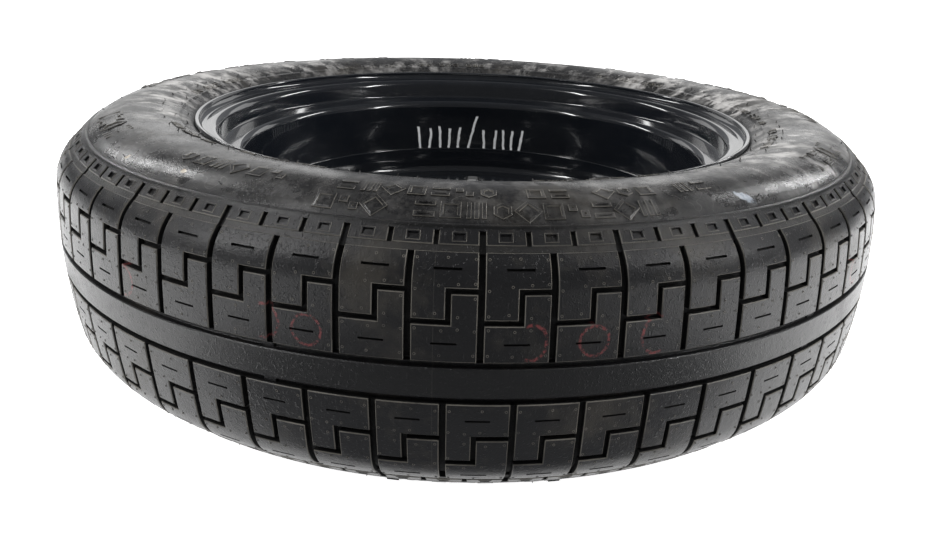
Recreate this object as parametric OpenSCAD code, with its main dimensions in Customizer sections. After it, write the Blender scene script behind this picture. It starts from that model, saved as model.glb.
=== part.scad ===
// Space saver spare wheel: a narrow tyre on a rolled steel rim with a welded disc.
// The wheel's axis is Z and its centre plane is Z = 0. The vehicle side faces +Z.
// Angles round the wheel are counted from -Y towards +X.

/* [Tyre size] */
// Outside diameter of the inflated tyre
tyre_d = 781; // [740:1:820]
// Overall width across the sidewalls
tyre_w = 219; // [212:1:226]
// Radius at which the sidewall is widest
widest_r = 322; // [314:1:328]
// Thickness of the tread band, grooves included
tread_t = 12.5; // [10:0.5:16]
// Thickness of the sidewall
wall_t = 6.5; // [5:0.5:8]
// Thickness of the shoulder, behind its slots
shoulder_t = 7.5; // [6:0.5:10]
// Thickness of the bead, outwards from the rim's lip
bead_t = 15.6; // [12:0.2:20]

/* [Tread] */
// Pitches round the tread, an even number
pitches = 54; // [48:2:60]
// Depth of the grooves
groove_depth = 4.6; // [3:0.2:7]
// Width of the grooves that cross the tread
cross_w = 4.4; // [3:0.2:6]
// Width of the stepped groove that splits each pitch
step_w = 3.6; // [2.5:0.1:5]
// Half width of the smooth centre rib
rib_half = 10.6; // [7:0.2:14]
// Width of the groove beside the centre rib
ring_groove_w = 4.4; // [3:0.2:6]
// Height above the centre plane of the stepped groove's inner leg
step_low = 41.3; // [36:0.5:46]
// Height above the centre plane of the stepped groove's outer leg
step_high = 61.2; // [55:0.5:66]
// Place of the stepped groove's stem, as a share of the pitch
stem_at = 0.55; // [0.4:0.01:0.65]
// Half width of the tread, where the cross grooves end
tread_half = 83; // [80:0.5:86]
// Radius of the tread's crown across its width
crown_r = 470; // [380:10:600]
// Distance from the centre plane at which the shoulder starts
shoulder_z = 60; // [55:1:64]
// Radius of the shoulder
shoulder_r = 34; // [30:1:38]
// Width of the slots in the shoulder
slot_w = 3.4; // [2:0.2:5]
// Depth of the slots in the shoulder
slot_depth = 2.6; // [1.5:0.1:4]
// Height above the centre plane at which the short slots start
slot_z = 85.6; // [84:0.2:88]
// Height above the centre plane at which all slots end
slot_end = 91.9; // [90:0.2:92.2]

/* [Sidewall] */
// Radius of the rib round the foot of the shoulder
ring_r = 360.5; // [357:0.5:364]
// How far that rib stands out
ring_h = 0.9; // [0.4:0.1:1.6]
// Half width of the shoulder at that rib
ring_z = 94; // [92:0.5:96]
// Radius of the fine line moulded above the rim
line_r = 284; // [281:0.5:290]
// How far that line stands out
line_h = 0.6; // [0.3:0.1:1]

/* [Rim] */
// Nominal rim diameter, at the bead seat
seat_d = 508; // [500:0.5:512]
// Distance between the flanges
rim_w = 172; // [166:1:176]
// Height of the flange above the bead seat
flange_h = 17.3; // [15:0.1:19]
// Thickness of the rim's sheet
rim_t = 3.4; // [2.6:0.1:4]
// Outer radius of the flange's curl
curl_r = 9; // [7:0.2:10]
// Radius of the fold between bead seat and flange
heel_r = 4; // [3:0.2:6]
// Taper of the bead seat
seat_taper = 5; // [3:0.5:7]
// Width of the bead seat
seat_w = 18.5; // [17:0.5:21]
// Depth of the well below the bead seat
well_depth = 22; // [18:0.5:26]
// Rise of the ledge that leads into the well on the vehicle side
ledge_w = 3.5; // [2:0.5:8]
// Length along the axis of the slope on the outer side
slope_w = 24; // [18:1:30]
// Gap left between tyre and rim, and between cap and stem
fit_gap = 0.3; // [0.2:0.05:0.5]
// Gap left where the disc's skirt is pressed into the rim
weld_gap = 0.1; // [0.05:0.05:0.3]

/* [Disc] */
// Thickness of the pressed disc
disc_t = 4.5; // [3.5:0.5:6]
// Distance of the hub face from the wheel's centre plane, to the outer side
offset_et = 28; // [20:1:36]
// Height of the skirt's edge above the centre plane
skirt_z = 7; // [0:0.5:14]
// Depth of the disc's outer fold below the centre plane
fold_z = 24; // [20:1:30]
// Radius of the disc's folds
fold_r = 11; // [8:1:14]
// Height of the raised ring, measured down from the centre plane
crown_z = 14; // [8:1:20]
// Radius of the middle of the raised ring
crown_ring_r = 150; // [140:1:160]
// Half width of the raised ring's flat
crown_flat = 16; // [13:1:20]
// Radius of the flat that lies on the hub
pad_r = 84; // [78:1:92]
// Radius of the centre bore
bore_r = 33.3; // [28:0.1:36]
// Length of the centre bore's turned collar
bore_l = 12; // [10:0.5:15]
// Number of wheel bolts
bolts = 5; // [4:1:6]
// Diameter of the bolt circle
bolt_pcd = 112; // [108:1:120]
// Radius of the bolt holes
bolt_r = 7.2; // [6:0.1:8]
// Outer radius of the cone that the bolt's head seats in
seat_r = 11.5; // [10:0.5:13]
// Number of vent holes
vents = 12; // [8:1:16]
// Radius of the vent holes
vent_r = 11; // [8:0.5:13]

/* [Valve] */
// Radius of the valve hole in the rim
hole_r = 5.65; // [5:0.05:6.5]
// Radius of the rubber stem where it stands on the rim
stem_r = 7.6; // [7:0.1:9]
// Length of the rubber stem outside the rim
stem_l = 26; // [20:1:32]
// Radius of the rubber stem at its tip
stem_tip_r = 5; // [4.6:0.1:6]
// Radius of the rubber button inside the rim
button_r = 9.5; // [8:0.1:11]
// Thickness of the rubber button
button_t = 5; // [3:0.5:8]
// Outer radius of the brass tube
tube_r = 3.9; // [3.4:0.1:4.2]
// Bore of the brass tube
tube_bore = 2.3; // [1.8:0.1:2.6]
// Length of the brass tube outside the rubber
tube_out = 9; // [7:0.5:12]
// Radius of the core's pin
pin_r = 0.9; // [0.6:0.05:1.2]
// How far the pin stands below the tube's mouth
pin_below = 0.5; // [0.2:0.1:1]
// Travel of the core's pin, down to the core's own end
pin_travel = 1.5; // [1:0.1:2]
// Radius of the valve cap
cap_r = 5; // [4.7:0.1:6]
// Length of the valve cap
cap_l = 11.5; // [10:0.5:14]

/* [Hidden] */
$fn = 96;
eps = 0.01;
groove_draft = 0.3;
bond_gap = 0.05;
pin_gap = 0.08;
cap_gap = 0.1;
seat_h = 3.5;
core_l = 14;
rubber = [0.10, 0.10, 0.11];
black_paint = [0.05, 0.05, 0.06];
brass = [0.72, 0.58, 0.32];

// Tyre
tyre_r = tyre_d / 2;
half_w = tyre_w / 2;
pitch = 360 / pitches;
ring_groove_out = rib_half + ring_groove_w;
crown_stations = [ring_groove_out, (ring_groove_out + shoulder_z) / 2];

// Rim
seat_r0 = seat_d / 2;
flange_z = rim_w / 2;
lip_r = seat_r0 + flange_h;
curl_cr = lip_r - curl_r;
curl_cz = flange_z + curl_r;
curl_end = 20;
toe_z = flange_z - seat_w;
function seat_at(z) = seat_r0 - (flange_z - z) * tan(seat_taper);
well_r = seat_r0 - well_depth;
well_in = well_r - rim_t;
slope_z = toe_z - slope_w;

// Disc
pad_z = -offset_et;
disc_out = well_in - weld_gap;

// Valve, square to the slope on the rim's outer side
slope_a = atan2(slope_w, seat_at(toe_z) - well_r);
valve_r = (seat_at(toe_z) + well_r - rim_t) / 2;
valve_z = -(slope_z + toe_z) / 2;
stem_foot = rim_t / 2 + fit_gap;
tube_top = stem_l + tube_out;
pin_top = tube_top - pin_below;
core_foot = pin_top - pin_travel - core_l;

// Points along an arc, from one angle to another
function arc(cx, cy, r, from, to, n) =
    [for (i = [0:n]) let (a = from + (to - from) * i / n) [cx + r * cos(a), cy + r * sin(a)]];

// Radius of the tread's crown at a height z, lowered by d
function crown(z, d = 0) = tyre_r - d - (crown_r - sqrt(crown_r * crown_r - z * z));

// The mirror image of a half profile, in reverse order
function below(points) = [for (p = reversed(points)) [p[0], -p[1]]];

// Shoulder arc below the tread's face by d, up to the angle at which the buttress starts
buttress_a = 50;
shoulder_a = asin(shoulder_z / crown_r);
shoulder_cr = crown(shoulder_z) - shoulder_r * cos(shoulder_a);
shoulder_cz = shoulder_z - shoulder_r * sin(shoulder_a);
function shoulder(d, n = 3) = arc(shoulder_cr, shoulder_cz, shoulder_r - d, shoulder_a, buttress_a, n);
buttress_top = [shoulder_cr + shoulder_r * cos(buttress_a), shoulder_cz + shoulder_r * sin(buttress_a)];

// A sidewall arc is level where it starts and ends x further out and h lower. With a
// negative h the radius is negative too, and the arc bends the other way.
function arc_radius(x, h) = (x * x + h * h) / (2 * h);
function arc_end(x, h) = let (r = arc_radius(x, h), s = sign(r), a = atan2(s * (r - h), s * x)) a < -90 ? a + 360 : a;
function share(from, to, s) = from + (to - from) * s;

// The arcs from the widest place to the rib and to the bead, and the line above the bead
bead_r = lip_r + 2;
bead_z = curl_cz + 0.5;
side_out_r = arc_radius(ring_r - widest_r, half_w - ring_z);
side_in_r = arc_radius(bead_r - widest_r, half_w - bead_z);
ring_a = arc_end(ring_r - widest_r, half_w - ring_z);
bead_a = arc_end(bead_r - widest_r, half_w - bead_z);
line_a = acos(max(-1, min(1, (line_r - widest_r) / side_in_r)));
line_deg = sign(bead_a - 90) * abs(180 / PI / side_in_r);
function side_out(from, to, n) = arc(widest_r, half_w - side_out_r, side_out_r, from, to, n);
function side_in(d, from, to, n) = arc(widest_r, half_w - side_in_r, side_in_r - d, from, to, n);

// The inner face of the wall: its place above the rim, its top and its end under the shoulder
bead_in = [bead_r + bead_t, share(bead_z, half_w, 0.56) - wall_t - 4.9];
wall_in = [bead_r + bead_t * 4 / 3, share(bead_z, half_w, 0.69) - wall_t - 4.6];
rib_foot = [ring_r + 3, ring_z - 1.6];
foot_in = [min(rib_foot[0], buttress_top[0]), rib_foot[1]] - [1, 1] * shoulder_t / sqrt(2);
top_in = [max(wall_in[0] + eps, min(widest_r, foot_in[0] - 3 * wall_t)), half_w - wall_t];
in_x = foot_in[0] - top_in[0];
in_h = top_in[1] - foot_in[1];
in_r = arc_radius(in_x, in_h);

// Half of the tyre's outer profile, from the centre rib to the bead's heel
function tyre_outside() = concat(
    [[tyre_r, rib_half], [crown(rib_half, groove_depth), rib_half + groove_draft]],
    [[crown(ring_groove_out, groove_depth), ring_groove_out - groove_draft]],
    [for (z = crown_stations) [crown(z), z]],
    shoulder(0),
    [rib_foot, [ring_r + 1 + ring_h / 2, ring_z - 0.4 + ring_h / 2]],
    [[ring_r - 0.6 + ring_h / 2, ring_z + 0.5 + ring_h], [ring_r - 1.8, ring_z + 0.9]],
    side_out(share(90, ring_a, 0.82), 90, 4),
    side_in(0, share(90, line_a, 0.33), line_a - 2.5 * line_deg, 3),
    side_in(-line_h, line_a - 1.3 * line_deg, line_a + 0.3 * line_deg, 1),
    side_in(0, line_a + 1.6 * line_deg, bead_a, 2),
    [[lip_r + fit_gap, curl_cz - 1]],
    arc(curl_cr, curl_cz, curl_r + fit_gap, -20, -90, 4),
    arc(seat_r0 + heel_r + fit_gap, flange_z - heel_r - fit_gap, heel_r, 90, 180, 3)
);

// Half of the tyre's inner profile, from the bead's toe to the crown
function tyre_inside() = concat(
    [[seat_at(toe_z + 4) + fit_gap, toe_z + 4], [seat_at(toe_z) + 4, toe_z], [lip_r - 8, toe_z + 1], bead_in, wall_in],
    [for (s = [0.53, 0.32]) [share(top_in[0], wall_in[0], s), share(top_in[1], wall_in[1], s * s * s)]],
    arc(top_in[0], top_in[1] - in_r, in_r, 90, arc_end(in_x, in_h), 3),
    [[buttress_top[0] - shoulder_t, buttress_top[1] - shoulder_t]],
    [for (s = [0.75, 0.45, 0.15]) [crown(shoulder_z * s) - tread_t, shoulder_z * s]]
);

// Heights at which the floor of the grooves bends, and its radius there
floor_bends = concat(crown_stations, [for (p = shoulder(groove_depth)) p[1]]);
function floor_r(z) = z <= shoulder_z - groove_depth * sin(shoulder_a)
    ? crown(z, groove_depth)
    : let (r = shoulder_r - groove_depth) shoulder_cr + r * cos(asin((z - shoulder_cz) / r));

// Radius of the floor of the shoulder's slots
function slot_floor_r(z) = buttress_top[0] - (z - buttress_top[1]) * tan(buttress_a) - slot_depth / cos(buttress_a);

// Turns a length round the tread into an angle
function round_deg(l) = l / tyre_r * 180 / PI;

// A cut into the tyre from outside, between two angles, with its floor given as points
module sector(floor_line, from, to) {
    first = floor_line[0];
    last = floor_line[len(floor_line) - 1];
    rotate([0, 0, from - 90]) rotate_extrude(angle = to - from)
        polygon(concat(floor_line, [[tyre_r + 3, last[1]], [tyre_r + 3, first[1]]]));
}

// A groove in the tread between two heights, centred on an angle or running between two
module groove(low, high, from, to) {
    sector([for (z = concat([low], [for (b = floor_bends) if (b > low + 0.5 && b < high - 0.5) b], [high])) [floor_r(z), z]],
        from, to);
}

module slot(low, high, at, w) {
    h = round_deg(w) / 2;
    sector([for (z = [low, high]) [slot_floor_r(z), z]], at - h, at + h);
}

// One half of the tread: a cross groove at each pitch, and between two of them a stepped
// groove with an inner leg, a stem and an outer leg, which leaves two interlocked blocks
module half_tread() {
    cross = round_deg(cross_w) / 2;
    stem = round_deg(step_w) / 2;
    leg = step_w / 2;
    corner = round_deg(groove_draft);
    for (k = [0:pitches - 1]) {
        at = k * pitch;
        stem_at_a = at + stem_at * pitch;
        groove(ring_groove_out - 1, tread_half, at - cross, at + cross);
        groove(step_low - leg, step_low + leg, at, stem_at_a + stem - corner);
        groove(step_low - leg + groove_draft, step_high + leg - groove_draft, stem_at_a - stem, stem_at_a + stem);
        groove(step_high - leg, step_high + leg, stem_at_a - stem + corner, at + pitch);
    }
    // Every second cross groove runs on down the shoulder, with two short slots to the next
    for (k = [0:2:pitches - 2]) {
        slot(tread_half - 0.5, slot_end, k * pitch, cross_w - 2 * groove_draft);
        for (third = [1, 2]) slot(slot_z, slot_end, (k + third * 2 / 3) * pitch, slot_w);
    }
}

// Which way a path turns at b, in degrees, left being positive
function turn_at(a, b, c) = let (u = b - a, v = c - b) atan2(u[0] * v[1] - u[1] * v[0], u * v);
function unit(v) = v / norm(v);
function left(u) = [-u[1], u[0]];
function turned(v, a) = [v[0] * cos(a) - v[1] * sin(a), v[0] * sin(a) + v[1] * cos(a)];

// One bend of a sheet: the side that lies d to the left of a path through b, bent at radius r
function bend(a, b, c, r, d, n) =
    let (t = turn_at(a, b, c), s = sign(t), u = unit(b - a))
    let (centre = b - u * r * tan(abs(t) / 2) + left(u) * r * s)
    [for (i = [0:n]) centre + turned(-left(u) * s, t * i / n) * (r - s * d)];

// One side of a bent sheet. Each point of the path but the first and last is [point, bend radius].
function side(path, d, n) = let (last = len(path) - 1) concat(
    [path[0][0] + left(unit(path[1][0] - path[0][0])) * d],
    [for (i = [1:last - 1]) each bend(path[i - 1][0], path[i][0], path[i + 1][0], path[i][1], d, n)],
    [path[last][0] + left(unit(path[last][0] - path[last - 1][0])) * d]
);

function reversed(v) = [for (i = [len(v) - 1:-1:0]) v[i]];

// Outline of a bent sheet of thickness t about its middle line
module sheet(path, t, n = 4) {
    polygon(concat(side(path, t / 2, n), reversed(side(path, -t / 2, n))));
}

// Middle line of the rim's flange and bead seat, from the curl's tip to the seat's end
function flange_line() = let (
    r = curl_r - rim_t / 2,
    tip = [curl_cr + r * cos(curl_end), curl_cz + r * sin(curl_end)],
    reach = r * tan(45 + curl_end / 2),
    mid = rim_t / 2 / cos(seat_taper),
    face = flange_z + rim_t / 2
) [
    [tip, 0],
    [tip + [sin(curl_end), -cos(curl_end)] * reach, r],
    [[seat_at(face) - mid, face], heel_r + rim_t / 2],
    [[seat_at(toe_z) - mid, toe_z], 5]
];

function rim_line() = concat(
    flange_line(),
    [[[well_r - rim_t / 2, toe_z - ledge_w], 6], [[well_r - rim_t / 2, -slope_z], 9]],
    [for (p = reversed(flange_line())) [[p[0][0], -p[0][1]], p[1]]]
);

function disc_line() = let (
    mid = disc_t / 2,
    top = -crown_z - mid,
    pad = pad_z - mid
) [
    [[disc_out - mid, skirt_z], 0],
    [[disc_out - mid, -fold_z - mid], fold_r],
    [[crown_ring_r + crown_flat + (fold_z - crown_z) * 1.4, -fold_z - mid], fold_r],
    [[crown_ring_r + crown_flat, top], fold_r],
    [[crown_ring_r - crown_flat, top], fold_r],
    [[pad_r, pad], fold_r],
    [[bore_r + mid, pad], mid + 1],
    [[bore_r + mid, pad_z - bore_l], 0]
];

module tyre() {
    color(rubber) difference() {
        rotate_extrude() polygon(concat(tyre_outside(), tyre_inside(), below(tyre_inside()), below(tyre_outside())));
        half_tread();
        rotate([0, 0, pitch / 2]) rotate([0, 180, 0]) half_tread();
    }
}

module rim() {
    color(black_paint) difference() {
        rotate_extrude() sheet(rim_line(), rim_t);
        at_valve() translate([0, 0, -rim_t * 2]) cylinder(r = hole_r, h = rim_t * 4);
    }
}

// A raised seat for a wheel bolt's cone, on the disc's outer face
module bolt_seat() {
    translate([0, 0, pad_z - disc_t - seat_h]) cylinder(r1 = seat_r + 1.6, r2 = seat_r + 5, h = seat_h + 0.5);
}

module bolt_hole() {
    translate([0, 0, pad_z - disc_t * 2]) cylinder(r = bolt_r, h = disc_t * 3);
    translate([0, 0, pad_z - disc_t - seat_h - eps])
        cylinder(r1 = seat_r, r2 = bolt_r, h = seat_r - bolt_r);
}

module disc() {
    color(black_paint) difference() {
        union() {
            rotate_extrude() sheet(disc_line(), disc_t);
            for (i = [0:bolts - 1]) rotate([0, 0, (i + 0.5) * 360 / bolts]) translate([bolt_pcd / 2, 0, 0]) bolt_seat();
        }
        for (i = [0:bolts - 1]) rotate([0, 0, (i + 0.5) * 360 / bolts]) translate([bolt_pcd / 2, 0, 0]) bolt_hole();
        for (i = [0:vents - 1]) rotate([0, 0, i * 360 / vents]) translate([crown_ring_r, 0, -crown_z - disc_t * 2])
            cylinder(r = vent_r, h = disc_t * 3);
    }
}

// Places a piece on the valve's axis, which leaves the rim's slope towards the wheel's axis
module at_valve() {
    translate([valve_r, 0, valve_z]) rotate([0, slope_a - 180, 0]) children();
}

module valve_stem() {
    foot = -stem_foot - button_t;
    color(rubber) at_valve() rotate_extrude() polygon([
        [tube_r + bond_gap, foot], [button_r - 1.5, foot], [button_r, foot + 1.5], [button_r, -stem_foot],
        [hole_r - fit_gap, -stem_foot], [hole_r - fit_gap, stem_foot], [stem_r, stem_foot], [stem_r, stem_foot + 3],
        [stem_r - 1.4, stem_foot + 5], [stem_tip_r + 0.6, stem_l - 4], [stem_tip_r, stem_l], [tube_r + bond_gap, stem_l]
    ]);
}

module valve_tube() {
    color(brass) at_valve() difference() {
        union() {
            translate([0, 0, -stem_foot - button_t]) cylinder(r = tube_r, h = stem_foot + button_t + tube_top - 0.6);
            translate([0, 0, tube_top - 0.6]) cylinder(r1 = tube_r, r2 = tube_r - 0.6, h = 0.6);
        }
        translate([0, 0, -stem_foot - button_t - 1]) cylinder(r = tube_bore, h = tube_top + stem_foot + button_t + 2);
    }
}

module valve_core() {
    color(brass) at_valve() difference() {
        translate([0, 0, core_foot]) cylinder(r = tube_bore - bond_gap, h = core_l);
        translate([0, 0, core_foot - 1]) cylinder(r = pin_r + pin_gap, h = core_l + 2);
    }
}

module valve_pin() {
    color(brass) at_valve() {
        translate([0, 0, core_foot - 1]) cylinder(r = pin_r, h = pin_top - core_foot + 1);
        translate([0, 0, core_foot - fit_gap - 2]) cylinder(r = tube_bore - 0.4, h = 2);
    }
}

module valve_cap() {
    color(rubber) at_valve() translate([0, 0, stem_l + fit_gap]) difference() {
        union() {
            cylinder(r = cap_r, h = cap_l - 1);
            translate([0, 0, cap_l - 1]) cylinder(r1 = cap_r, r2 = cap_r - 1, h = 1);
        }
        translate([0, 0, -1]) cylinder(r = tube_r + cap_gap, h = tube_out + 1.5);
    }
}

tyre();
rim();
disc();
valve_stem();
valve_tube();
valve_core();
valve_pin();
valve_cap();
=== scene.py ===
# %% [markdown]
# This notebook dresses a space saver spare wheel: a narrow tyre with stepped tread
# blocks on a black steel rim, lying with the side that faces the vehicle upwards.
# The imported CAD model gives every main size. Here the same wheel gets the finer
# shapes and the finishes that a CAD solid leaves out.

# %% Load the frame
import math

import bmesh
import bpy
import numpy as np
from mathutils import Matrix, Vector


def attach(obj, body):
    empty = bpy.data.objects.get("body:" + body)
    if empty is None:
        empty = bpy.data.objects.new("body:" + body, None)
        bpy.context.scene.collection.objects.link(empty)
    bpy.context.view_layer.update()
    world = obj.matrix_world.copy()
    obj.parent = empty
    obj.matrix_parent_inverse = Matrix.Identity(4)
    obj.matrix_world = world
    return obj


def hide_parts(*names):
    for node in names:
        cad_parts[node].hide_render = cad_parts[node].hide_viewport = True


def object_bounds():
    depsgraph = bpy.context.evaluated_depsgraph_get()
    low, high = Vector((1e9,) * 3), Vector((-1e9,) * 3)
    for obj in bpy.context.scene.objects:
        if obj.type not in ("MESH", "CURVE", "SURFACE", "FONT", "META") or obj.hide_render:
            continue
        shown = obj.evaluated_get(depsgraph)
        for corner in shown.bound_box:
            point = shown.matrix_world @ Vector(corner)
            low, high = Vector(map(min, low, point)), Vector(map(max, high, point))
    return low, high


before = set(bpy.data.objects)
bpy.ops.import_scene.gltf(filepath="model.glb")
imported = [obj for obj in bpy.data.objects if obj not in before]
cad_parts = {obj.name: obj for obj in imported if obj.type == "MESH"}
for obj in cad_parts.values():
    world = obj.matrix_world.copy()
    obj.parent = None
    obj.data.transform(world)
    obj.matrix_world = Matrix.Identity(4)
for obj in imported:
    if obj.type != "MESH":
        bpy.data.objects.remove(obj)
cad_box = [list(corner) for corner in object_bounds()]
print("CAD box", [[round(x, 4) for x in corner] for corner in cad_box])

# %% [markdown]
# Sizes are written in millimetres, as on a drawing, and turned into metres only when
# they reach Blender. The wheel's axis is Z. Angles run round it from -Y towards +X,
# so that angle 0 is the part of the tyre nearest to the camera.

# %% Sizes of the tyre
MM = 0.001
tyre_r, half_w, widest_r = 390.38, 109.48, 322.0
pitches, groove_depth, cross_w, step_w = 54, 4.6, 4.4, 3.6
rib_half, ring_groove_out = 10.6, 15.0
step_low, step_high, stem_at, tread_half = 41.3, 61.2, 0.55, 82.4
crown_r, shoulder_z, shoulder_r, buttress_a = 470.0, 60.0, 34.0, 50.0
slot_w, slot_depth, slot_z, slot_end = 3.4, 2.6, 85.6, 92.4
ring_r, ring_z = 360.5, 94.0
line_r, line_h = 284.0, 0.6
pitch = 2 * math.pi * tyre_r / pitches
print("one pitch of the tread is", round(pitch, 2), "mm long")

# %% Sizes of the rim, the disc and the valve
seat_r0, flange_z, lip_r, rim_t = 254.0, 86.0, 271.3, 3.4
curl_r, heel_r, curl_end, seat_taper, seat_w = 9.0, 4.0, 20.0, 5.0, 18.5
well_r, ledge_w, slope_w, fit_gap = 232.0, 3.5, 24.0, 0.3
curl_cr, curl_cz = lip_r - curl_r, flange_z + curl_r
toe_z = flange_z - seat_w
slope_z = toe_z - slope_w
disc_t, pad_z, skirt_z, fold_z, fold_r = 4.5, -28.0, 7.0, 24.0, 11.0
crown_z, crown_ring_r, crown_flat, pad_r = 14.0, 150.0, 16.0, 84.0
bore_r, bore_l = 33.3, 12.0
bolt_pcd, bolt_r, seat_r, vent_r = 112.0, 7.2, 11.5, 11.0

def seat_at(z):
    return seat_r0 - (flange_z - z) * math.tan(math.radians(seat_taper))

disc_out = well_r - rim_t - 0.1
slope_a = math.atan2(slope_w, seat_at(toe_z) - well_r)
valve_place = Matrix.Translation((
    (seat_at(toe_z) + well_r - rim_t) / 2 * MM, 0, -(slope_z + toe_z) / 2 * MM
)) @ Matrix.Rotation(slope_a - math.pi, 4, "Y")
print("valve at", [round(x, 4) for x in valve_place.translation])

# %% [markdown]
# The camera stands a little above the wheel and close to it, which is why the near
# side of the tyre looks so much larger than the far side. Its place, its turn and the
# shift of its picture come from matching the tread's grooves and the rim's lip.

# %% Camera
camera = bpy.data.objects.new("camera", bpy.data.cameras.new("camera"))
bpy.context.scene.collection.objects.link(camera)
camera.location = (-0.01390, -0.83739, 0.25410)
camera.rotation_euler = [math.radians(a) for a in (68.0785, -2.4424, -2.4411)]
camera.data.sensor_width = 36
camera.data.lens = 814.978 * 36 / 933
camera.data.shift_x, camera.data.shift_y = -0.0407, 0.0056
camera.data.clip_start, camera.data.clip_end = 0.01, 60
bpy.context.scene.camera = camera
print("lens", round(camera.data.lens, 2), "mm")

# %% [markdown]
# Everything round on this wheel is drawn as a profile and spun. Drawing goes as by
# hand: a plane is merged to a single point, and the point is extruded along the
# profile. A helper also keeps the selection clean, because an operator acts on all
# that is selected.

# %% Helpers for drawing and spinning
def deselect():
    if bpy.context.object and bpy.context.object.mode != "OBJECT":
        bpy.ops.object.mode_set(mode="OBJECT")
    bpy.ops.object.select_all(action="DESELECT")

def pick(obj):
    deselect()
    obj.select_set(True)
    bpy.context.view_layer.objects.active = obj
    return obj

def edit(obj, action="SELECT"):
    pick(obj)
    bpy.ops.object.mode_set(mode="EDIT")
    bpy.ops.mesh.select_mode(type="VERT")
    bpy.ops.mesh.select_all(action=action)

def named(name):
    obj = bpy.context.object
    obj.name = obj.data.name = name
    return obj

def join(objs, name):
    deselect()
    for o in objs:
        o.select_set(True)
    bpy.context.view_layer.objects.active = objs[0]
    bpy.ops.object.join()
    return named(name)

def draw(name, points, closed=True):
    """Edges through (radius, height) points in millimetres, in the plane Y = 0."""
    deselect()
    bpy.ops.mesh.primitive_plane_add(size=0.001)
    obj = named(name)
    bpy.ops.object.mode_set(mode="EDIT")
    bpy.ops.mesh.select_mode(type="VERT")
    bpy.ops.mesh.merge(type="CENTER")
    bpy.ops.transform.translate(value=(points[0][0] * MM, 0, points[0][1] * MM))
    path = list(points) + ([points[0]] if closed else [])
    for a, b in zip(path, path[1:]):
        step = ((b[0] - a[0]) * MM, 0, (b[1] - a[1]) * MM)
        bpy.ops.mesh.extrude_vertices_move(TRANSFORM_OT_translate={"value": step})
    bpy.ops.mesh.select_all(action="SELECT")
    bpy.ops.mesh.remove_doubles(threshold=2e-6)
    bpy.ops.object.mode_set(mode="OBJECT")
    return obj

def spin(obj, steps=288, smooth=30):
    edit(obj)
    bpy.ops.mesh.spin(steps=steps, angle=2 * math.pi, center=(0, 0, 0), axis=(0, 0, 1))
    bpy.ops.mesh.select_all(action="SELECT")
    bpy.ops.mesh.remove_doubles(threshold=2e-6)
    bpy.ops.mesh.normals_make_consistent(inside=False)
    bpy.ops.object.mode_set(mode="OBJECT")
    bpy.ops.object.shade_smooth_by_angle(angle=math.radians(smooth))
    print(obj.name, len(obj.data.polygons), "faces")
    return obj

def arc(cr, cz, r, start, end, n):
    angles = np.radians(np.linspace(start, end, n + 1))
    return [(cr + r * math.cos(a), cz + r * math.sin(a)) for a in angles]

def mirrored(points):
    return [(r, -z) for r, z in reversed(points)]

# %% [markdown]
# The tyre's skin is one curve from the middle of the tread over the shoulder: a flat
# crown, a tight shoulder and a straight foot. Laying the tread along this curve needs
# the point, the outward direction and the length along the curve at any place.

# %% The skin's curve
def crown(z, depth=0.0):
    return tyre_r - depth - (crown_r - math.sqrt(crown_r ** 2 - z * z))

shoulder_a = math.degrees(math.asin(shoulder_z / crown_r))
shoulder_cr = crown(shoulder_z) - shoulder_r * math.cos(math.radians(shoulder_a))
shoulder_cz = shoulder_z - shoulder_r * math.sin(math.radians(shoulder_a))

def skin_points(depth=0.0, n=12):
    """From the crown's middle to the foot of the rib round the shoulder."""
    foot = math.radians(buttress_a)
    run = [(crown(z, depth), z) for z in np.linspace(0, shoulder_z, 3 * n)]
    run += arc(shoulder_cr, shoulder_cz, shoulder_r - depth, shoulder_a, buttress_a, n)[1:]
    return run + [(ring_r + 3 - depth * math.cos(foot), slot_end - depth * math.sin(foot))]

skin = np.array(skin_points(n=60))
skin_s = np.concatenate([[0], np.cumsum(np.hypot(*np.diff(skin, axis=0).T))])
skin_dir = np.gradient(skin, skin_s, axis=0)

def s_at(z):
    return float(np.interp(z, skin[:, 1], skin_s))

print("half the tread is", round(skin_s[-1], 1), "mm along the skin")

# %% [markdown]
# The sidewall is drawn as two arcs that meet where the tyre is widest. A raised rib
# runs round the foot of the shoulder, and a fine line runs above the rim. Under the
# tread the casing lies a little deeper than the grooves, so that the tread sits in it.

# %% The casing's profile
def side_arc(r0, z0):
    """Centre height and radius of an arc from the widest place to (r0, z0)."""
    radius = ((r0 - widest_r) ** 2 + (half_w - z0) ** 2) / (2 * (half_w - z0))
    return half_w - radius, radius, math.degrees(math.acos((r0 - widest_r) / radius))

out_cz, out_r, ring_a = side_arc(ring_r, ring_z)
in_cz, in_r, bead_a = side_arc(lip_r + 2, curl_cz + 0.5)
line_a = math.degrees(math.acos((line_r - widest_r) / in_r))

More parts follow.
